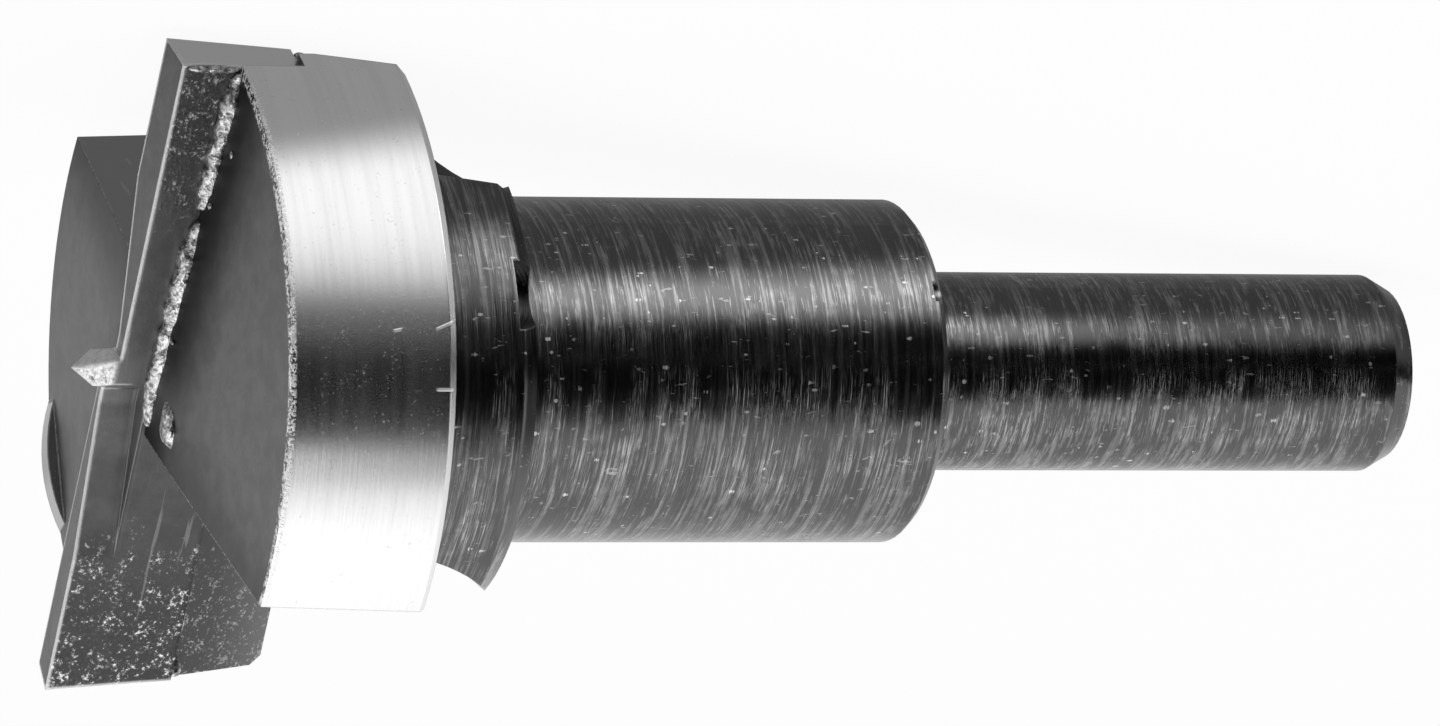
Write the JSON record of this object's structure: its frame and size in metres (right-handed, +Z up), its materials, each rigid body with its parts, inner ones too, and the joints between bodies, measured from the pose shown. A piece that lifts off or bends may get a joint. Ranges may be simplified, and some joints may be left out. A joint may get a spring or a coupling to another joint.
{
  "type": "hinge boring bit",
  "caption": "Two-winged boring bit for flat-bottomed cup hinge holes, with a brazed cutter plate, a centre point and a plain round shank.",
  "frame": {"origin": "centre of the bounding box at its underside, where the bit lies on a flat surface", "axes": "+X runs from the cutting head towards the shank, +Z is up; the bit lies across one chip notch, so its own axis dips 8.7 degrees towards the shank"},
  "size_m": [0.0672, 0.0346, 0.0283],
  "materials": {
    "body_steel": "blackened turned steel, with a bright ground rim on the head",
    "carbide": "ground grey carbide, speckled by the braze"
  },
  "bodies": {
    "root": {"steel_body": "body_steel", "cutter_plate": "carbide"}
  },
  "joints": []
}
